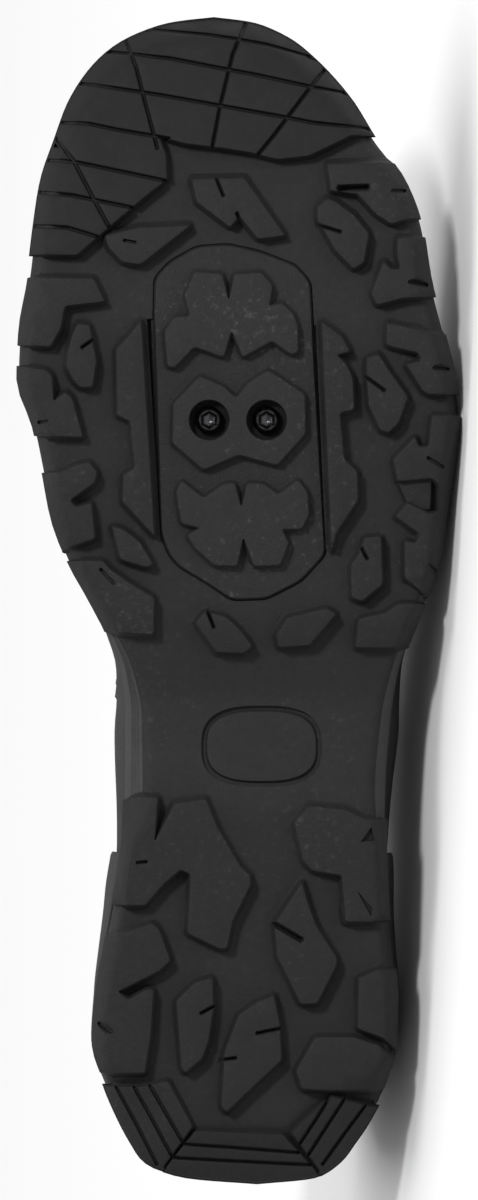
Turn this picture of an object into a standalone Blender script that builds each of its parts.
"""A left cycling shoe for trails: a lugged rubber sole with a cleat cover, under a hollow strapped upper.

It is modelled standing, with x from heel to toe, y towards the lateral side and z up, in metres.
Then it is laid on its lateral side, at rest on the sole's edge and the upper. Tables hold percent:
"along" is a share of SOLE_LENGTH from the heel, and "across" is a share of BALL_WIDTH, lateral positive.
"""

import math

import bmesh
import bpy
import numpy as np
from mathutils import Matrix, Vector

# Sole sizes
SOLE_LENGTH = 0.283
BALL_WIDTH = 0.109
HEEL_STACK = 0.026
BALL_STACK = 0.0175
TOE_SPRING = 0.020
ARCH_RISE = 0.0035
LUG_HEIGHT = 0.0045
LUG_STAND = 0.0009
LUG_WRAP = 0.011
BEVEL_RISE = 0.008
GROOVE_WIDTH = 0.0012
GROOVE_DEPTH = 0.0018
SIDE_STEP = 0.0008
SIDE_STEP_SHARE = 72
SIDE_STEP_RAMP = 6
BEVEL_SHARE = 35

# Cleat cover and bolts
COVER_SINK = 0.0012
COVER_THICKNESS = 0.0032
COVER_GAP = 0.0004
BOLT_SPACING = 0.014
BOLT_HEAD_RADIUS = 0.0034
BOLT_HEAD_HEIGHT = 0.0021
BOLT_SHANK_RADIUS = 0.0025
BOLT_LENGTH = 0.009
BOLT_WELL_RADIUS = 0.0047
SOCKET_RADIUS = 0.0022
SOCKET_DEPTH = 0.0014
BOLT_PLACE = (65.4, 0.2)

# Upper sizes, with heights above the sole's seat
COLLAR_HEIGHT = 0.062
INSTEP_HEIGHT = 0.070
TOE_HEIGHT = 0.034
UPPER_WALL = 0.0022
UPPER_INSET = 0.0012
COLLAR_PAD = 0.0035
RIM_ROUND = 0.0008
COUNTER_THICKNESS = 0.0016
TONGUE_THICKNESS = 0.004
TONGUE_RISE = 0.027
TONGUE_LEAN = 32
INSOLE_THICKNESS = 0.004
INSOLE_CLEARANCE = 0.0012
STRAP_WIDTH = 0.020
STRAP_THICKNESS = 0.002
FIT_GAP = 0.0003
WRAP_GAP = 0.0006

# Mesh steps
SMOOTH_ANGLE = math.radians(35)
SOLE_STATIONS = 37
UPPER_STATIONS = 37
UPPER_ROWS = 11
COUNTER_COLUMNS_A_SIDE = 12
COUNTER_ROWS = 6
TONGUE_ROWS = 11
TONGUE_COLUMNS = 5
STRAP_COLUMNS = 5
STRAP_ROWS = 9
BOLT_SIDES = 24

# The bolt head's dome, as shares of its radius and of its height
BOLT_DOME = ((100, 0), (100, 30), (93, 65), (78, 93))

# The sole's rim, and the edge of its tread, at matching places round the outline
SOLE_COLUMNS = ("along", "medial", "lateral", "tread_along", "tread_medial", "tread_lateral")
SOLE_SECTIONS = (
    (0.0, 4.5, 4.5, 4.3, 0.5, 0.5),
    (0.5, -11.0, 17.0, 4.35, -9.0, 10.5),
    (1.7, -19.8, 22.3, 5.2, -11.5, 13.5),
    (3.4, -23.0, 25.7, 6.4, -13.5, 17.0),
    (5.2, -25.5, 28.8, 7.6, -16.0, 21.0),
    (8.0, -28.6, 32.3, 8.8, -26.0, 30.5),
    (12.0, -31.8, 35.2, 12.0, -30.2, 33.8),
    (16.0, -31.0, 35.3, 16.0, -29.4, 33.8),
    (20.0, -29.2, 34.2, 20.0, -27.4, 32.6),
    (24.0, -27.2, 33.3, 24.0, -25.8, 32.0),
    (29.0, -25.2, 32.8, 29.0, -23.8, 31.2),
    (34.0, -24.8, 33.0, 34.0, -20.2, 30.3),
    (40.0, -24.8, 34.2, 40.0, -20.3, 31.6),
    (44.0, -25.8, 36.0, 44.0, -22.6, 34.2),
    (47.0, -28.6, 38.8, 47.0, -26.4, 37.2),
    (50.0, -32.6, 42.0, 50.0, -31.0, 40.4),
    (53.5, -37.6, 45.0, 53.5, -35.8, 43.4),
    (57.0, -41.0, 46.2, 57.0, -39.2, 44.4),
    (61.0, -43.0, 47.8, 61.0, -41.2, 46.0),
    (65.0, -45.2, 49.2, 65.0, -43.4, 47.4),
    (69.0, -48.6, 48.4, 69.0, -46.8, 46.6),
    (73.0, -48.2, 45.8, 73.0, -46.2, 44.0),
    (77.5, -46.2, 42.9, 77.5, -44.2, 41.0),
    (82.0, -44.8, 41.0, 81.8, -42.8, 39.0),
    (86.0, -43.2, 37.2, 85.6, -41.2, 35.2),
    (89.5, -40.2, 30.6, 89.0, -38.2, 28.8),
    (93.0, -36.8, 25.0, 92.2, -34.6, 23.2),
    (96.4, -30.6, 17.2, 95.4, -28.6, 15.4),
    (98.3, -23.8, 11.0, 97.2, -22.0, 9.6),
    (99.6, -14.0, 2.8, 98.4, -13.2, 2.4),
    (100.0, -5.2, -5.2, 98.8, -5.2, -5.2),
)

# The side view: shares of ARCH_RISE, TOE_SPRING, HEEL_STACK and BALL_STACK
PROFILE_COLUMNS = ("along", "arch", "spring", "heel", "ball")
PROFILE_SECTIONS = (
    (0.0, 0, 0, 100, 0),
    (24.0, 0, 0, 100, 0),
    (31.0, 0, 0, 82, 18),
    (38.0, 85, 0, 50, 50),
    (41.0, 100, 0, 38, 62),
    (45.0, 40, 0, 22, 78),
    (49.0, 0, 0, 10, 90),
    (56.0, 0, 0, 0, 100),
    (66.0, 0, 0, 0, 100),
    (70.0, 0, 1.4, 0, 100),
    (74.0, 0, 5.5, 0, 100),
    (82.0, 0, 22, 0, 100),
    (90.0, 0, 50, 0, 96),
    (96.0, 0, 78, 0, 88),
    (100.0, 0, 100, 0, 80),
)

# The upper's opening over each place of its lower edge, and the curve of the wall between them:
# heights are shares of COLLAR_HEIGHT, INSTEP_HEIGHT and TOE_HEIGHT, bulges are across,
# rise and lift are shares of the wall's height, and reach is a share of its lean inwards
UPPER_COLUMNS = (
    "along", "open_along", "open_medial", "open_lateral", "collar", "instep", "toe",
    "bulge_medial", "bulge_lateral", "rise", "reach", "lift",
)
UPPER_SECTIONS = (
    (0.0, 4.6, 3.5, 3.5, 100, 0, 0, 0.8, 0.8, 36, 85, -30),
    (2.0, 5.4, -8.5, 14.5, 99, 0, 0, 0.8, 0.8, 36, 85, -30),
    (6.0, 8.6, -15.8, 21.0, 94, 0, 0, 0.8, 0.8, 36, 80, -30),
    (13.0, 14.0, -20.0, 25.0, 81, 0, 0, 1.0, 0.8, 36, 80, -30),
    (22.0, 22.0, -21.0, 25.5, 71, 0, 0, 3.6, 2.4, 36, 95, -30),
    (30.0, 29.5, -19.0, 23.5, 45, 37, 0, 7.0, 5.0, 34, 120, -30),
    (38.0, 36.5, -14.5, 18.0, 0, 100, 0, 8.6, 8.0, 30, 125, -28),
    (46.0, 42.5, -11.5, 14.5, 0, 88, 10, 5.0, 4.0, 32, 85, -22),
    (56.0, 48.5, -10.0, 12.5, 0, 68, 32, 2.0, 2.0, 34, 50, -12),
    (66.0, 54.5, -9.0, 11.0, 0, 52, 48, 1.5, 1.5, 38, 38, -6),
    (76.0, 60.0, -7.8, 9.2, 0, 34, 66, 1.2, 1.2, 45, 38, -3),
    (86.0, 64.8, -6.0, 6.6, 0, 17, 83, 1.0, 1.0, 60, 42, 0),
    (94.0, 68.0, -3.8, 3.4, 0, 6, 94, 0.8, 0.8, 85, 48, 4),
    (98.0, 69.4, -2.2, 1.4, 0, 2, 98, 0.6, 0.6, 105, 50, 6),
    (100.0, 70.0, -0.6, -0.6, 0, 0, 100, 0.6, 0.6, 115, 50, 8),
)

# The heel counter's top edge, as a share of the way up the wall, from its front edge to the heel
COUNTER_COLUMNS = ("along", "top")
COUNTER_FRONT = 28.0
COUNTER_FOOT = 4
COUNTER_SECTIONS = ((0.0, 62), (6.0, 60), (14.0, 50), (22.0, 40), (28.0, 24))

# The tongue under the throat: how far up the wall its plate reaches, and where it starts and ends along
TONGUE_WAYS = (80, 90, 100)
TONGUE_FRONT = 98.6
TONGUE_BACK = 39.0

# The free end of the tongue: how far up it is, and its width, its droop at the sides and its depth
# along the shoe, as shares of TONGUE_RISE and of the section where it leaves the throat
TONGUE_TURN = 50
TONGUE_END = (
    (26, 57, 40, 30),
    (60, 61, 32, 26),
    (84, 59, 24, 22),
    (96, 46, 14, 18),
    (100, 30, 8, 14),
)

# Where the ankle's padding starts and is full: along the sole, and as a share of the way up the wall
PAD_FRONT = 34
PAD_FULL = 26
PAD_FOOT = 60
PAD_TOP = 84

# The places along between which the throat's straps are looked for, and how often that range is halved
STRAP_RANGE = (20, 99)
STRAP_HALVINGS = 30

# Straps: name, place of the crossing along the throat, medial and lateral ends up the wall
STRAPS = (
    ("strap_toe", 62.0, 42, 56),
    ("strap_middle", 53.0, 44, 58),
    ("strap_instep", 43.5, 46, 60),
)
STRAP_LEAN = 0.12

# How far up the wall a strap starts to lift off it, how many times RIM_ROUND it has lifted at the opening,
# and the two places where it bends between the sides
STRAP_LIFT_START = 0.8
STRAP_LIFT = 1.5
STRAP_BENDS = (0.33, 0.67)

# The flat that the shoe lies on faces the lateral side by at least this share, and has more than this area
LATERAL_LEAST = 0.75
FLAT_LEAST = 1e-7

# Finishes: colour, roughness, metallic, and density in kilograms a cubic metre
FINISHES = {
    "sole_rubber": ((0.032, 0.032, 0.033), 0.62, 0.0, 1000),
    "cover_rubber": ((0.036, 0.036, 0.037), 0.66, 0.0, 1150),
    "bolt_steel": ((0.42, 0.42, 0.43), 0.28, 1.0, 7800),
    "upper_cloth": ((0.045, 0.045, 0.047), 0.75, 0.0, 650),
    "counter_plastic": ((0.03, 0.03, 0.031), 0.5, 0.0, 1000),
    "tongue_cloth": ((0.038, 0.038, 0.04), 0.85, 0.0, 300),
    "insole_cloth": ((0.06, 0.06, 0.063), 0.9, 0.0, 200),
    "strap_webbing": ((0.028, 0.028, 0.03), 0.7, 0.0, 700),
}

# Corners of each lug as (along, across), and edge lugs run past the rim, where the tread cuts them off
PAST = 60
LUGS = {
    "toe_pad": (
        (90.0, PAST), (90.0, 25.5), (89.2, 21.5), (88.2, 16.0), (87.9, 9.0), (88.5, 3.0), (88.9, -3.5),
        (89.3, -12.0), (89.9, -17.5), (88.3, -15.9), (86.2, -15.6), (84.2, -22.0), (82.0, -28.7),
        (79.6, -35.8), (79.8, -PAST), (103.0, -PAST), (103.0, PAST),
    ),
    "medial_inner_front": (
        (81.3, -29.5), (82.0, -22.2), (82.2, -10.3), (78.8, -21.6), (79.0, -25.6), (80.3, -28.8),
    ),
    "centre_front": (
        (86.2, -10.2), (86.3, 1.7), (81.3, 10.8), (81.0, 4.7), (83.0, 0.5), (82.0, -1.5), (84.2, -9.0),
    ),
    "lateral_inner_front": (
        (84.5, 20.1), (83.8, 18.0), (82.6, 18.0), (81.6, 19.7), (80.1, 21.8), (78.4, 26.1), (79.0, 28.4),
        (81.5, 29.5), (83.1, 26.1), (84.3, 21.8),
    ),
    "lateral_edge_front": (
        (87.5, 20.2), (87.7, 33.0), (87.0, PAST), (82.8, PAST), (82.8, 38.5), (82.3, 34.5),
        (83.2, 31.0), (84.9, 27.0), (85.2, 21.0),
    ),
    "lateral_edge_second": (
        (81.1, 36.0), (81.6, PAST), (76.4, PAST), (75.9, 37.0), (75.3, 31.3), (76.3, 30.0),
        (79.1, 32.8), (78.4, 34.5), (78.4, 36.5), (79.8, 35.8),
    ),
    "lateral_edge_third": (
        (73.8, 33.5), (72.8, 45.2), (72.8, PAST), (67.7, PAST), (67.6, 43.0), (67.9, 41.6),
        (70.2, 37.8), (70.5, 41.3), (71.2, 40.5), (71.7, 34.5), (71.9, 33.4),
    ),
    "lateral_inner_second": (
        (70.7, 29.0), (71.1, 31.6), (69.6, 34.1), (67.4, 38.2), (65.2, 36.2), (64.3, 33.9),
        (64.5, 32.1), (66.6, 29.5), (68.8, 29.0),
    ),
    "lateral_edge_ball": (
        (65.8, PAST), (65.8, 43.6), (63.1, 42.8), (63.1, 40.6), (64.0, 39.8), (62.0, 34.9),
        (60.1, 35.9), (60.4, 43.5), (59.8, 45.2), (57.5, 45.0), (57.3, 43.0), (58.3, 38.2),
        (57.1, 35.4), (55.6, 40.8), (54.8, 40.0), (55.0, 37.5), (51.8, 37.5), (50.4, 42.0),
        (50.9, PAST),
    ),
    "lateral_inner_third": (
        (55.3, 28.5), (55.4, 32.2), (51.3, 32.6), (49.8, 28.0), (50.1, 25.6), (52.9, 25.4), (54.0, 27.5),
    ),
    "waist_centre": (
        (48.4, 11.3), (49.2, 20.0), (48.7, 22.2), (46.0, 16.2), (45.8, 9.4), (46.9, 8.8),
    ),
    "waist_lateral": (
        (48.3, 27.2), (48.8, 33.2), (49.6, 36.0), (49.5, PAST), (48.6, PAST), (46.2, 39.0),
        (45.8, 35.0), (45.8, 26.5),
    ),
    "medial_edge_front": (
        (77.8, -PAST), (77.6, -32.0), (75.6, -29.5), (75.2, -38.5), (73.3, -39.4), (71.7, -41.7),
        (72.1, -PAST),
    ),
    "medial_inner_second": (
        (73.7, -35.6), (73.6, -33.0), (70.5, -31.4), (68.2, -32.3), (68.2, -35.0), (68.8, -36.5),
        (70.0, -38.1), (71.3, -37.8), (72.8, -36.8),
    ),
    "medial_edge_ball": (
        (70.7, -PAST), (69.7, -42.5), (69.2, -41.3), (67.0, -41.0), (67.8, -38.4), (67.3, -36.8),
        (63.9, -34.4), (64.3, -PAST),
    ),
    "medial_edge_third": (
        (60.7, -PAST), (60.9, -39.4), (61.6, -35.5), (61.8, -33.0), (60.9, -31.2), (60.0, -31.8),
        (58.5, -37.3), (57.9, -36.0), (58.3, -32.5), (55.2, -31.7), (54.3, -38.5), (54.5, -PAST),
    ),
    "medial_inner_third": (
        (56.3, -28.0), (56.0, -25.4), (54.9, -21.7), (53.0, -18.7), (52.7, -20.0), (53.4, -26.0),
    ),
    "medial_edge_waist": (
        (53.1, -PAST), (53.3, -30.0), (52.5, -28.2), (51.4, -24.0), (50.1, -18.4), (46.9, -18.6),
        (47.1, -26.2), (47.6, -PAST),
    ),
    "waist_medial": (
        (48.9, -7.2), (48.5, -2.6), (47.4, 0.6), (45.9, 3.5), (45.3, 1.5), (45.4, -4.6), (47.9, -9.3),
    ),
    "medial_rail": (
        (74.0, -21.4), (72.5, -24.5), (71.5, -27.0), (65.8, -26.8), (65.3, -23.9), (61.3, -22.8),
        (60.7, -25.4), (58.4, -25.6), (56.3, -20.6), (55.4, -18.4),
    ),
    "lateral_rail": (
        (73.9, 18.9), (72.6, 23.5), (71.3, 25.3), (71.0, 22.4), (70.2, 24.4), (69.0, 25.9),
        (66.3, 26.2), (66.0, 23.0), (62.0, 24.0), (61.0, 26.9), (58.5, 27.1), (55.8, 22.4),
        (54.2, 21.1),
    ),
    "heel_medial_front": (
        (33.0, -21.0), (32.9, -17.6), (29.1, -18.4), (32.4, -14.0), (32.8, -6.9), (30.4, -4.4),
        (27.0, 0.8), (26.2, 3.0), (25.4, 3.1), (22.2, -1.0), (19.9, -2.2), (19.9, -4.0), (21.2, -11.0),
        (26.3, -10.4), (26.7, -12.6), (25.4, -16.5), (23.6, -20.5), (23.8, -PAST), (30.0, -PAST),
    ),
    "heel_medial_edge": (
        (20.4, -PAST), (21.0, -27.0), (22.1, -19.0), (21.6, -17.4), (18.9, -14.8), (18.0, -17.2),
        (16.8, -23.4), (16.2, -26.6), (15.5, -24.3), (16.4, -20.3), (16.4, -18.6), (12.6, -19.2),
        (9.2, -20.6), (9.0, -PAST),
    ),
    "heel_medial_inner": (
        (15.4, -13.6), (17.0, -9.4), (17.4, -5.4), (14.8, -5.2), (11.9, -6.4), (10.4, -7.8), (9.2, -11.6),
        (9.7, -12.4),
    ),
    "heel_centre": (
        (15.9, 8.3), (15.3, 4.5), (14.2, 0.4), (11.0, -2.8), (6.4, -3.5), (5.8, -2.4), (8.7, 5.5),
        (10.3, 10.0), (13.4, 9.6),
    ),
    "heel_lateral_front": (
        (32.2, 16.0), (31.9, 24.0), (31.0, 29.0), (31.0, PAST), (22.9, PAST), (22.2, 29.6),
        (22.2, 24.2), (26.2, 23.4), (26.6, 16.9), (27.4, 14.8), (30.7, 12.8),
    ),
    "heel_lateral_inner": (
        (22.0, 8.3), (25.6, 14.6), (23.9, 15.8), (21.8, 17.8), (19.1, 22.4), (18.4, 22.2), (15.2, 18.0),
        (15.1, 14.3), (19.2, 9.0),
    ),
    "heel_lateral_edge": (
        (17.4, 27.2), (18.1, 31.5), (18.1, PAST), (10.9, PAST), (10.8, 35.4), (11.8, 32.6), (12.6, 27.0),
    ),
    "heel_lateral_back": (
        (12.3, 17.5), (12.2, 26.0), (11.5, 31.8), (10.4, 34.4), (9.6, PAST), (8.0, PAST), (7.7, 21.0),
        (7.8, 14.5), (9.4, 13.2),
    ),
    "heel_back_medial": (
        (7.7, -PAST), (8.0, -21.0), (8.5, -15.4), (4.6, -9.9), (1.0, -17.0), (-2.0, -20.0), (-2.0, -PAST),
    ),
    "heel_back_centre": (
        (4.2, -9.2), (3.9, 10.2), (0.8, 17.4), (-3.0, 22.0), (-3.0, -19.0), (1.1, -15.6),
    ),
    "heel_back_lateral": (
        (7.2, 20.9), (6.2, 30.0), (6.2, PAST), (-2.0, PAST), (-2.0, 25.0), (0.8, 18.8), (4.0, 12.2),
    ),
}

# Centre lines of the grooves in the toe pad and in the heel's back
GROOVES = (
    ((99.4, -23.0), (98.8, -7.0), (98.4, 0.0), (97.9, 7.0), (96.4, 21.0)),
    ((97.6, -34.0), (96.7, -15.0), (95.8, -3.0), (95.3, 4.0), (94.2, 17.0), (93.2, 33.0)),
    ((95.0, -42.0), (93.5, -17.0), (92.6, -4.0), (91.6, 10.5), (91.1, 17.0), (90.2, 40.0)),
    ((91.4, -48.0), (91.0, -33.0), (90.5, -27.0), (89.7, -15.0)),
    ((88.2, -52.0), (87.7, -36.5), (87.1, -29.0), (85.8, -13.0)),
    ((85.4, -52.0), (84.8, -37.0), (84.4, -32.0), (83.6, -22.0)),
    ((82.3, -52.0), (82.0, -38.0), (81.0, -29.5)),
    ((92.5, -46.0), (87.8, -36.6), (84.4, -32.0), (81.6, -28.0)),
    ((99.5, -26.0), (96.0, -22.7), (92.0, -20.0), (88.8, -17.8)),
    ((99.9, 2.0), (97.0, -1.0), (92.5, -3.8), (88.0, -6.0)),
    ((97.0, 22.0), (94.3, 16.7), (90.0, 8.3), (87.5, 3.0)),
    ((7.6, -30.0), (5.5, -23.7), (1.4, -17.4)),
    ((8.4, -23.8), (6.0, -20.3), (1.8, -14.6)),
    ((8.6, -20.2), (6.0, -16.7), (2.8, -11.8)),
    ((3.1, -14.0), (2.8, -2.0), (2.3, 14.0)),
    ((1.9, -16.5), (1.6, -2.0), (1.2, 18.0)),
    ((6.9, 25.0), (4.2, 20.0), (1.8, 14.8)),
    ((6.4, 30.0), (3.6, 23.0), (1.2, 17.8)),
)

# The cleat cover, its lugs, and the slots that part it from the rails
COVER_OUTLINE = (
    (77.6, -18.2), (79.0, -15.0), (80.3, -9.0), (80.5, -2.0), (79.9, 5.0), (78.7, 13.0), (77.3, 16.2),
    (70.0, 17.2), (53.9, 19.6), (51.6, 14.1), (50.1, 6.5), (50.0, -1.2), (51.4, -6.5), (52.8, -12.7),
    (53.8, -15.0), (55.6, -16.8), (74.2, -18.4),
)
COVER_SLOTS = (
    ((74.1, -21.1), (55.3, -18.2), (55.6, -16.0), (74.2, -17.6)),
    ((73.6, 18.4), (54.2, 20.6), (54.2, 19.0), (73.6, 16.2)),
)
COVER_LUGS = {
    "flower_front": (
        (78.2, -9.5), (78.0, -3.3), (75.7, -1.8), (78.0, -0.6), (78.1, 5.5), (77.0, 8.0), (75.2, 7.2),
        (75.5, 10.0), (74.5, 12.7), (73.5, 13.6), (71.3, 13.7), (71.0, 12.3), (72.2, 7.8), (70.8, 1.3),
        (73.1, -1.2), (70.8, -3.0), (71.7, -9.5), (69.9, -14.0), (70.0, -15.5), (73.0, -16.2),
        (74.3, -14.0), (74.3, -10.5), (76.1, -11.7),
    ),
    "figure_of_eight": (
        (69.2, -8.3), (68.3, -3.0), (67.3, -0.2), (68.6, 2.5), (69.7, 7.0), (67.6, 15.2), (64.2, 15.3),
        (61.5, 9.0), (62.4, 0.4), (61.1, -7.5), (63.4, -14.4), (66.8, -14.2),
    ),
    "flower_back": (
        (60.2, -12.4), (58.7, -7.5), (59.9, -3.0), (60.0, -0.5), (57.9, 1.0), (60.0, 2.3), (59.9, 6.0),
        (59.0, 9.3), (60.3, 13.6), (59.2, 15.8), (57.2, 16.1), (56.0, 14.4), (56.0, 10.0), (54.8, 11.6),
        (52.9, 9.7), (52.8, 3.8), (55.3, 1.4), (52.8, 0.0), (52.9, -5.2), (54.4, -9.4), (56.3, -13.0),
        (59.2, -13.6),
    ),
}


def station(along):
    """The even parameter of a place along the sole, which rounds off the heel and the toe."""
    return math.acos(1 - along / 50) / math.pi


def curve_through(rows, column):
    """A smooth curve through one column of a table, read at a station, with no overshoot."""
    knots = [station(row[0]) for row in rows]
    values = [row[column] for row in rows]
    steps = [(values[i + 1] - values[i]) / (knots[i + 1] - knots[i]) for i in range(len(rows) - 1)]
    slopes = [steps[0]]
    for before, after in zip(steps, steps[1:]):
        slopes.append(2 * before * after / (before + after) if before * after > 0 else 0.0)
    slopes.append(steps[-1])

    def read(t):
        i = max(0, min(len(steps) - 1, sum(knot <= t for knot in knots) - 1))
        width = knots[i + 1] - knots[i]
        u = (t - knots[i]) / width
        start = (1 + 2 * u) * (1 - u) ** 2 * values[i] + u * (1 - u) ** 2 * width * slopes[i]
        end = u * u * (3 - 2 * u) * values[i + 1] + u * u * (u - 1) * width * slopes[i + 1]
        return start + end

    return read


def table(columns, rows):
    return {name: curve_through(rows, i) for i, name in enumerate(columns)}


SOLE = table(SOLE_COLUMNS, SOLE_SECTIONS)
PROFILE = table(PROFILE_COLUMNS, PROFILE_SECTIONS)
UPPER = table(UPPER_COLUMNS, UPPER_SECTIONS)
COUNTER = table(COUNTER_COLUMNS, COUNTER_SECTIONS)


def along_m(percent):
    return percent / 100 * SOLE_LENGTH


def across_m(percent):
    return percent / 100 * BALL_WIDTH


def stations(count, first=0.0, last=1.0):
    return [first + (last - first) * i / (count - 1) for i in range(count)]


def ground(along):
    """Height of the tread's surface above the floor that the shoe would stand on."""
    t = station(max(0.0, min(100.0, along)))
    return (PROFILE["arch"](t) * ARCH_RISE + PROFILE["spring"](t) * TOE_SPRING) / 100


def seat(along):
    """Height of the surface that the upper sits on."""
    t = station(max(0.0, min(100.0, along)))
    stack = PROFILE["heel"](t) * HEEL_STACK + PROFILE["ball"](t) * BALL_STACK
    return (PROFILE["spring"](t) * TOE_SPRING + stack) / 100


def floor_height(along):
    """Height of the tread's floor, between the lugs."""
    return ground(along) + LUG_HEIGHT


def side_height(along, share):
    """Height on the sole's side wall: 0 at the tread's floor and 100 at the seat."""
    floor = floor_height(along)
    return floor + (seat(along) - floor) * share / 100


def rim_plan(side, t):
    return Vector((along_m(SOLE["along"](t)), across_m(SOLE[side](t)), 0))


def rim_outward(side, t):
    """Level direction out of the rim."""
    step = 0.001
    tangent = rim_plan(side, min(1.0, t + step)) - rim_plan(side, max(0.0, t - step))
    sign = 1 if side == "lateral" else -1
    return Vector((-tangent.y * sign, tangent.x * sign, 0)).normalized()


def rim_point(side, t, inset, height):
    """A point in from the rim by inset, at a height that depends on the place along the sole."""
    point = rim_plan(side, t) - rim_outward(side, t) * inset
    point.z = height(SOLE["along"](t))
    return point


def tread_point(side, t, height):
    along = SOLE["tread_along"](t)
    return Vector((along_m(along), across_m(SOLE["tread_" + side](t)), height(along)))


def loop_of(point_at, ts):
    """Points once round the shoe: up the lateral side and back down the medial side."""
    lateral = [point_at("lateral", t) for t in ts]
    medial = [point_at("medial", t) for t in reversed(ts[1:-1])]
    return lateral + medial


def new_object(name, bm, smooth=True):
    bmesh.ops.recalc_face_normals(bm, faces=bm.faces)
    mesh = bpy.data.meshes.new(name)
    bm.to_mesh(mesh)
    bm.free()
    if smooth:
        mesh.shade_smooth()
        mesh.set_sharp_from_angle(angle=SMOOTH_ANGLE)
    obj = bpy.data.objects.new(name, mesh)
    bpy.context.scene.collection.objects.link(obj)
    return obj


def add_strips(bm, ring):
    """Closes a loop of loop_of with strips from side to side."""
    half = len(ring) // 2
    for i in range(half):
        corners = [ring[i], ring[i + 1], ring[-i - 1], ring[-i]]
        bm.faces.new(list(dict.fromkeys(corners)))


def add_band(bm, lower, upper):
    for i in range(len(lower)):
        following = (i + 1) % len(lower)
        bm.faces.new((lower[i], lower[following], upper[following], upper[i]))


def stack(name, loops):
    """A closed solid through level-ish loops, with strips across its first and last."""
    bm = bmesh.new()
    rings = [[bm.verts.new(point) for point in points] for points in loops]
    add_strips(bm, rings[0])
    add_strips(bm, rings[-1])
    for lower, upper in zip(rings, rings[1:]):
        add_band(bm, lower, upper)
    return new_object(name, bm)


def prisms(name, outlines):
    """Upright prisms through the whole height of the tread, on outlines in metres."""
    low = -HEEL_STACK
    high = TOE_SPRING + HEEL_STACK
    bm = bmesh.new()
    for outline in outlines:
        floor = [bm.verts.new((x, y, low)) for x, y in outline]
        roof = [bm.verts.new((x, y, high)) for x, y in outline]
        bm.faces.new(floor)
        bm.faces.new(roof)
        add_band(bm, floor, roof)
    return new_object(name, bm, smooth=False)


def in_metres(outline):
    return [(along_m(along), across_m(across)) for along, across in outline]


def side_normals(points, is_closed):
    """Unit normals of a plan outline at its points, to one side of it."""
    count = len(points)
    found = []
    for i in range(count):
        before = points[i - 1] if is_closed or i > 0 else points[i]
        after = points[(i + 1) % count] if is_closed or i < count - 1 else points[i]
        run = Vector((after[0] - before[0], after[1] - before[1]))
        found.append(Vector((-run.y, run.x)).normalized())
    return found


def ribbon(line, width):
    """The outline of a line of the given width."""
    points = in_metres(line)
    normals = side_normals(points, is_closed=False)
    left = [(p[0] + n.x * width / 2, p[1] + n.y * width / 2) for p, n in zip(points, normals)]
    right = [(p[0] - n.x * width / 2, p[1] - n.y * width / 2) for p, n in zip(points, normals)]
    return left + right[::-1]


def grow(outline, distance):
    """An outline in metres moved outwards."""
    centre = Vector(np.mean(outline, axis=0))
    normals = side_normals(outline, is_closed=True)
    grown = []
    for point, normal in zip(outline, normals):
        sign = 1 if normal.dot(Vector(point) - centre) > 0 else -1
        grown.append((point[0] + sign * normal.x * distance, point[1] + sign * normal.y * distance))
    return grown


def add_boolean(obj, operation, other, self_cutting=False):
    modifier = obj.modifiers.new(operation.lower() + "_" + other.name, "BOOLEAN")
    modifier.operation = operation
    modifier.solver = "EXACT"
    modifier.use_self = self_cutting
    modifier.object = other
    other.hide_render = True
    other.display_type = "WIRE"


def ground_slab(name, low, high, spread):
    """A layer between two heights above the tread's surface, reaching past the rim by spread."""
    ts = stations(SOLE_STATIONS)
    lower = loop_of(lambda side, t: rim_point(side, t, -spread, lambda a: ground(a) + low), ts)
    upper = loop_of(lambda side, t: rim_point(side, t, -spread, lambda a: ground(a) + high), ts)
    return stack(name, [lower, upper])


def disc(centre, radius, sides=BOLT_SIDES):
    turns = [math.tau * i / sides for i in range(sides)]
    return [(centre.x + radius * math.cos(a), centre.y + radius * math.sin(a)) for a in turns]


def bolt_centres():
    """Where each bolt stands: its name and plan place."""
    middle = Vector((along_m(BOLT_PLACE[0]), across_m(BOLT_PLACE[1]), 0))
    return [
        ("cleat_bolt_medial", middle - Vector((0, BOLT_SPACING / 2, 0))),
        ("cleat_bolt_lateral", middle + Vector((0, BOLT_SPACING / 2, 0))),
    ]


def cover_outer(along):
    """Height of the cleat cover's plate, sunk from the tread's surface below the lugs."""
    return ground(along) + LUG_HEIGHT - COVER_SINK


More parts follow.
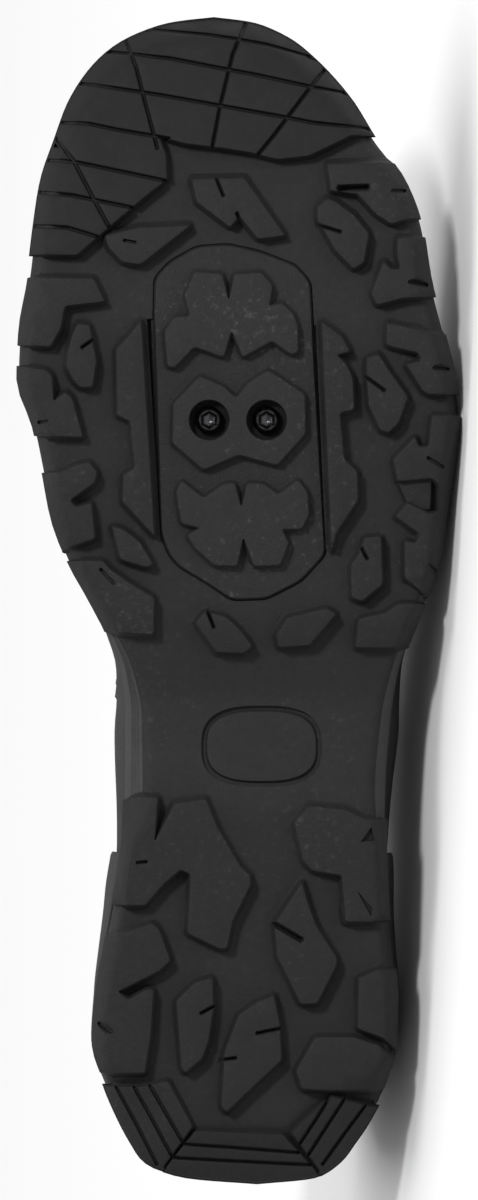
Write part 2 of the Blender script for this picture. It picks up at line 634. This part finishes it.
def make_outsole():
    ts = stations(SOLE_STATIONS)

    def side_loop(inset, share):
        return loop_of(lambda side, t: rim_point(side, t, inset, lambda a: side_height(a, share)), ts)

    body = stack("outsole", [
        loop_of(lambda side, t: tread_point(side, t, floor_height), ts),
        side_loop(0, BEVEL_SHARE),
        side_loop(0, SIDE_STEP_SHARE),
        side_loop(SIDE_STEP, SIDE_STEP_SHARE + SIDE_STEP_RAMP),
        side_loop(SIDE_STEP, 100),
    ])
    lug_layer = stack("tread_layer", [
        loop_of(lambda side, t: tread_point(side, t, ground), ts),
        loop_of(lambda side, t: rim_point(side, t, -LUG_STAND, lambda a: ground(a) + BEVEL_RISE), ts),
        loop_of(lambda side, t: rim_point(side, t, -LUG_STAND, lambda a: ground(a) + LUG_WRAP), ts),
    ])
    add_boolean(lug_layer, "INTERSECT", prisms("lug_outlines", map(in_metres, LUGS.values())))

    pocket_height = LUG_HEIGHT - COVER_SINK + COVER_THICKNESS + FIT_GAP
    for name, outlines in (
        ("cover_pocket", [grow(in_metres(COVER_OUTLINE), COVER_GAP)]),
        ("rail_slots", map(in_metres, COVER_SLOTS)),
    ):
        pocket = ground_slab(name, -LUG_HEIGHT, pocket_height, LUG_WRAP)
        add_boolean(pocket, "INTERSECT", prisms(name + "_outline", outlines))
        add_boolean(body, "DIFFERENCE", pocket)

    wells = [disc(centre, BOLT_SHANK_RADIUS + COVER_GAP) for _, centre in bolt_centres()]
    well_depth = LUG_HEIGHT - COVER_SINK + BOLT_LENGTH + FIT_GAP
    bolt_wells = ground_slab("bolt_wells", 0, well_depth, LUG_WRAP)
    add_boolean(bolt_wells, "INTERSECT", prisms("bolt_well_outlines", wells))
    add_boolean(body, "DIFFERENCE", bolt_wells)
    add_boolean(body, "UNION", lug_layer)

    grooves = ground_slab("groove_layer", -LUG_HEIGHT, GROOVE_DEPTH, LUG_WRAP)
    ribbons = prisms("groove_outlines", [ribbon(line, GROOVE_WIDTH) for line in GROOVES])
    add_boolean(grooves, "INTERSECT", ribbons, self_cutting=True)
    add_boolean(body, "DIFFERENCE", grooves)
    return body


def make_cleat_cover():
    sunk = LUG_HEIGHT - COVER_SINK
    cover = ground_slab("cleat_cover", sunk, sunk + COVER_THICKNESS, LUG_WRAP)
    add_boolean(cover, "INTERSECT", prisms("cover_outline", [in_metres(COVER_OUTLINE)]))
    lugs = ground_slab("cover_lug_layer", 0, sunk + COVER_THICKNESS / 2, LUG_WRAP)
    lug_outlines = map(in_metres, COVER_LUGS.values())
    add_boolean(lugs, "INTERSECT", prisms("cover_lug_outlines", lug_outlines))
    add_boolean(cover, "UNION", lugs)
    centres = [centre for _, centre in bolt_centres()]
    wells = ground_slab("head_wells", -LUG_HEIGHT, sunk, LUG_WRAP)
    well_outlines = [disc(centre, BOLT_WELL_RADIUS) for centre in centres]
    add_boolean(wells, "INTERSECT", prisms("head_well_outlines", well_outlines))
    add_boolean(cover, "DIFFERENCE", wells)
    holes = [disc(centre, BOLT_SHANK_RADIUS + FIT_GAP) for centre in centres]
    add_boolean(cover, "DIFFERENCE", prisms("shank_holes", holes))
    return cover


def hexagon_radius(turn):
    """Distance from the centre to the side of a hexagon whose corners are SOCKET_RADIUS out."""
    within = (turn + math.pi / 6) % (math.pi / 3) - math.pi / 6
    return SOCKET_RADIUS * math.cos(math.pi / 6) / math.cos(abs(within) - math.pi / 6)


def make_bolt(name, centre):
    """A button head with a hexagon socket, on its shank, head down."""
    under = cover_outer(BOLT_PLACE[0]) - FIT_GAP
    tip = under + BOLT_LENGTH - BOLT_HEAD_HEIGHT
    crown = under - BOLT_HEAD_HEIGHT
    turns = [math.tau * i / BOLT_SIDES for i in range(BOLT_SIDES)]
    round_rings = [(BOLT_SHANK_RADIUS, tip), (BOLT_SHANK_RADIUS, under)]
    for wide, tall in BOLT_DOME:
        round_rings.append((BOLT_HEAD_RADIUS * wide / 100, under - BOLT_HEAD_HEIGHT * tall / 100))
    profile = [([radius] * BOLT_SIDES, height) for radius, height in round_rings]
    socket = [hexagon_radius(a) for a in turns]
    profile += [(socket, crown), (socket, crown + SOCKET_DEPTH)]
    bm = bmesh.new()
    rings = []
    for radii, height in profile:
        ring = [(radius * math.cos(a), radius * math.sin(a), height) for radius, a in zip(radii, turns)]
        rings.append([bm.verts.new(point) for point in ring])
    bm.faces.new(rings[0])
    bm.faces.new(rings[-1])
    for lower, upper in zip(rings, rings[1:]):
        add_band(bm, lower, upper)
    bolt = new_object(name, bm)
    bolt.location = centre
    return bolt


def upper_point(side, t, way):
    """The upper's outer surface: way is 0 at the sole and 1 at the opening."""
    foot = rim_point(side, t, UPPER_INSET, lambda a: seat(a) + FIT_GAP)
    open_along = UPPER["open_along"](t)
    top = Vector((along_m(open_along), across_m(UPPER["open_" + side](t)), seat(open_along)))
    rise = UPPER["collar"](t) * COLLAR_HEIGHT + UPPER["instep"](t) * INSTEP_HEIGHT
    top.z += (rise + UPPER["toe"](t) * TOE_HEIGHT) / 100
    height = top.z - foot.z
    low = foot + rim_outward(side, t) * across_m(UPPER["bulge_" + side](t))
    low.z += height * UPPER["rise"](t) / 100
    lean = (foot - top) * UPPER["reach"](t) / 100
    high = top + Vector((lean.x, lean.y, height * UPPER["lift"](t) / 100))
    back = 1 - way
    return foot * back ** 3 + low * (3 * back * back * way) + high * (3 * back * way * way) + top * way ** 3


def upper_normal(side, t, way):
    """The outward normal of the upper's outer surface, level at the sole."""
    step = 0.002
    round_it = upper_point(side, min(1, t + step), way) - upper_point(side, max(0, t - step), way)
    up_it = upper_point(side, t, min(1, way + step)) - upper_point(side, t, max(0, way - step))
    normal = round_it.cross(up_it) if side == "medial" else up_it.cross(round_it)
    if way == 0:
        normal.z = 0
    return normal.normalized()


def ramp(start, end, value):
    """0 before start and 1 after end, with a smooth rise between them."""
    share = max(0.0, min(1.0, (value - start) / (end - start)))
    return share * share * (3 - 2 * share)


def wall_at(t, way):
    """Thickness of the upper: its wall, and the padding round the ankle."""
    behind_throat = ramp(PAD_FRONT, PAD_FULL, SOLE["along"](t))
    near_top = ramp(PAD_FOOT, PAD_TOP, way * 100)
    return UPPER_WALL + COLLAR_PAD * behind_throat * near_top


def upper_offset(side, t, way, offset):
    return upper_point(side, t, way) + upper_normal(side, t, way) * offset


def make_upper():
    ts = stations(UPPER_STATIONS)
    ways = stations(UPPER_ROWS)
    outer = [loop_of(lambda side, t: upper_point(side, t, way), ts) for way in ways]
    inner = [loop_of(lambda side, t: upper_offset(side, t, way, -wall_at(t, way)), ts) for way in ways]
    brim = [(a + b) / 2 for a, b in zip(outer[-1], inner[-1])]
    for point in brim:
        point.z += RIM_ROUND
    bm = bmesh.new()
    rings = [[bm.verts.new(point) for point in points] for points in outer + [brim] + inner[::-1]]
    for lower, upper in zip(rings, rings[1:] + rings[:1]):
        add_band(bm, lower, upper)
    return new_object("upper", bm)


def shell(name, rows_out, rows_in):
    """A closed plate between two matching grids of points."""
    bm = bmesh.new()
    out = [[bm.verts.new(point) for point in row] for row in rows_out]
    inside = [[bm.verts.new(point) for point in row] for row in rows_in]
    tall = len(out)
    wide = len(out[0])
    for i in range(tall - 1):
        for j in range(wide - 1):
            bm.faces.new((out[i][j], out[i][j + 1], out[i + 1][j + 1], out[i + 1][j]))
            bm.faces.new((inside[i][j], inside[i + 1][j], inside[i + 1][j + 1], inside[i][j + 1]))
    for i in (0, tall - 1):
        for j in range(wide - 1):
            bm.faces.new((out[i][j], out[i][j + 1], inside[i][j + 1], inside[i][j]))
    for j in (0, wide - 1):
        for i in range(tall - 1):
            bm.faces.new((out[i][j], out[i + 1][j], inside[i + 1][j], inside[i][j]))
    return new_object(name, bm)


def make_counter():
    """The overlay round the heel, cut from the upper's own surface."""
    front = station(COUNTER_FRONT)
    columns = [("lateral", t) for t in stations(COUNTER_COLUMNS_A_SIDE, front, 0.0)]
    columns += [("medial", t) for t in stations(COUNTER_COLUMNS_A_SIDE, 0.0, front)[1:]]

    def grid(offset):
        rows = []
        for share in stations(COUNTER_ROWS):
            row = []
            for side, t in columns:
                way = (COUNTER_FOOT + (COUNTER["top"](t) - COUNTER_FOOT) * share) / 100
                row.append(upper_offset(side, t, way, offset))
            rows.append(row)
        return rows

    return shell("heel_counter", grid(WRAP_GAP + COUNTER_THICKNESS), grid(WRAP_GAP))


def make_tongue():
    """A padded plate under the throat, which rises above it at the ankle."""
    under_ways = tuple(way / 100 for way in TONGUE_WAYS)
    shares = stations(TONGUE_COLUMNS)[1:-1]
    rows = []
    for t in stations(TONGUE_ROWS, station(TONGUE_FRONT), station(TONGUE_BACK)):
        row = []
        for side, ways in (("medial", under_ways), ("lateral", under_ways[::-1])):
            row.append([upper_offset(side, t, way, -wall_at(t, way) - WRAP_GAP) for way in ways])
        left, right = row
        middle = [left[-1].lerp(right[0], share) for share in shares]
        rows.append(left + middle + right)
    tilt = math.radians(TONGUE_LEAN)
    rising = Vector((-math.sin(tilt), 0, math.cos(tilt)))
    inwards = Vector((-math.cos(tilt), 0, -math.sin(tilt)))
    depths = [Vector((0, 0, -1))] * len(rows)
    root = rows[-1]
    crown = max(root, key=lambda point: point.z).copy()
    crown.y = (root[0].y + root[-1].y) / 2
    for up, width, droop, depth in TONGUE_END:
        scale = Vector((depth, width, droop)) / 100
        rows.append([crown + (point - crown) * scale + rising * TONGUE_RISE * up / 100 for point in root])
        depths.append(depths[0].lerp(inwards, min(1.0, up / TONGUE_TURN)).normalized())
    lower = [[point + depth * TONGUE_THICKNESS for point in row] for row, depth in zip(rows, depths)]
    return shell("tongue", rows, lower)


def station_at(side, way, x):
    """The station where the upper's surface, that far up the wall, is at the given length."""
    low, high = map(station, STRAP_RANGE)
    for _ in range(STRAP_HALVINGS):
        middle = (low + high) / 2
        if upper_point(side, middle, way).x < x:
            low = middle
        else:
            high = middle
    return (low + high) / 2


def make_strap(name, crossing, medial_end, lateral_end):
    """A strap over the throat: down both sides on the upper's own surface, straight across between them."""
    top_z = upper_point("medial", station_at("medial", 1.0, along_m(crossing)), 1.0).z

    def point(side, way, shift, offset):
        x = along_m(crossing) + shift
        for _ in range(3):
            t = station_at(side, way, x)
            surface = upper_point(side, t, way)
            x = along_m(crossing) + shift + STRAP_LEAN * (top_z - surface.z)
        near_rim = max(0.0, (way - STRAP_LIFT_START) / (1 - STRAP_LIFT_START))
        return upper_offset(side, t, way, offset + near_rim * RIM_ROUND * STRAP_LIFT)

    def grid(offset):
        up = stations(STRAP_ROWS, medial_end / 100, 1.0)
        down = stations(STRAP_ROWS, 1.0, lateral_end / 100)
        rows = []
        for shift in stations(STRAP_COLUMNS, -STRAP_WIDTH / 2, STRAP_WIDTH / 2):
            medial = [point("medial", way, shift, offset) for way in up]
            lateral = [point("lateral", way, shift, offset) for way in down]
            middle = [medial[-1].lerp(lateral[0], share) for share in STRAP_BENDS]
            for crown in middle:
                crown.z += RIM_ROUND
            rows.append(medial + middle + lateral)
        return rows

    return shell(name, grid(WRAP_GAP + STRAP_THICKNESS), grid(WRAP_GAP))


def make_insole():
    inset = UPPER_INSET + UPPER_WALL + INSOLE_CLEARANCE
    ts = stations(SOLE_STATIONS)
    under = loop_of(lambda side, t: rim_point(side, t, inset, lambda a: seat(a) + FIT_GAP), ts)
    over = [point + Vector((0, 0, INSOLE_THICKNESS)) for point in under]
    return stack("insole", [under, over])


def material(name, colour, roughness, metallic):
    made = bpy.data.materials.new(name)
    made.use_nodes = True
    shader = made.node_tree.nodes["Principled BSDF"]
    shader.inputs["Base Color"].default_value = (*colour, 1)
    shader.inputs["Roughness"].default_value = roughness
    shader.inputs["Metallic"].default_value = metallic
    return made


def shape_of(obj, graph):
    """World points and triangles of an object as it is drawn."""
    evaluated = obj.evaluated_get(graph)
    mesh = evaluated.to_mesh()
    mesh.calc_loop_triangles()
    points = np.array([evaluated.matrix_world @ vertex.co for vertex in mesh.vertices])
    faces = np.array([triangle.vertices[:] for triangle in mesh.loop_triangles])
    evaluated.to_mesh_clear()
    return points, faces


def balance_point(shapes):
    """The centre of mass, from each solid's volume times its density."""
    total = 0.0
    moment = np.zeros(3)
    for points, faces, density in shapes:
        corners = points[faces]
        volumes = np.linalg.det(corners) / 6
        total += density * volumes.sum()
        moment += density * (volumes[:, None] * corners.sum(axis=1) / 4).sum(axis=0)
    return Vector(moment / total)


def resting_normal(shapes):
    """The outward normal of the flat that the shoe lies on, on its lateral side."""
    centre = balance_point(shapes)
    bm = bmesh.new()
    for points, _, _ in shapes:
        for point in points:
            bm.verts.new(point)
    bmesh.ops.convex_hull(bm, input=bm.verts)
    best = None
    for face in bm.faces:
        normal = face.normal.copy()
        if normal.dot(face.verts[0].co - centre) < 0:
            normal.negate()
        distance = normal.dot(face.verts[0].co - centre)
        is_flat = normal.y > LATERAL_LEAST and face.calc_area() > FLAT_LEAST
        if is_flat and (best is None or distance < best[0]):
            best = (distance, normal)
    bm.free()
    return best[1]


def lay_down(pieces):
    """Turns the shoe onto its lateral side, toe to +X, with the origin under the middle of its box."""
    holder = bpy.data.objects.new("shoe", None)
    bpy.context.scene.collection.objects.link(holder)
    for obj in bpy.data.objects:
        if obj is not holder:
            obj.parent = holder
    bpy.context.view_layer.update()
    graph = bpy.context.evaluated_depsgraph_get()
    shapes = [(*shape_of(obj, graph), density) for obj, density in pieces]
    down = resting_normal(shapes)
    toe = Vector((1, 0, 0))
    toe = (toe - down * toe.dot(down)).normalized()
    turn = Matrix((toe, (-down).cross(toe), -down)).to_4x4()
    laid = np.vstack([points @ np.array(turn.to_3x3()).T for points, _, _ in shapes])
    low, high = laid.min(axis=0), laid.max(axis=0)
    shift = Matrix.Translation((-(low[0] + high[0]) / 2, -(low[1] + high[1]) / 2, -low[2]))
    holder.matrix_world = shift @ turn


def main():
    for obj in list(bpy.data.objects):
        bpy.data.objects.remove(obj, do_unlink=True)
    pieces = [
        (make_outsole(), "sole_rubber"),
        (make_cleat_cover(), "cover_rubber"),
        (make_upper(), "upper_cloth"),
        (make_counter(), "counter_plastic"),
        (make_tongue(), "tongue_cloth"),
        (make_insole(), "insole_cloth"),
    ]
    pieces += [(make_bolt(name, centre), "bolt_steel") for name, centre in bolt_centres()]
    pieces += [(make_strap(*strap), "strap_webbing") for strap in STRAPS]
    finishes = {name: material(name, *row[:3]) for name, row in FINISHES.items()}
    for obj, finish in pieces:
        obj.data.materials.clear()
        obj.data.materials.append(finishes[finish])
    lay_down([(obj, FINISHES[finish][3]) for obj, finish in pieces])


main()
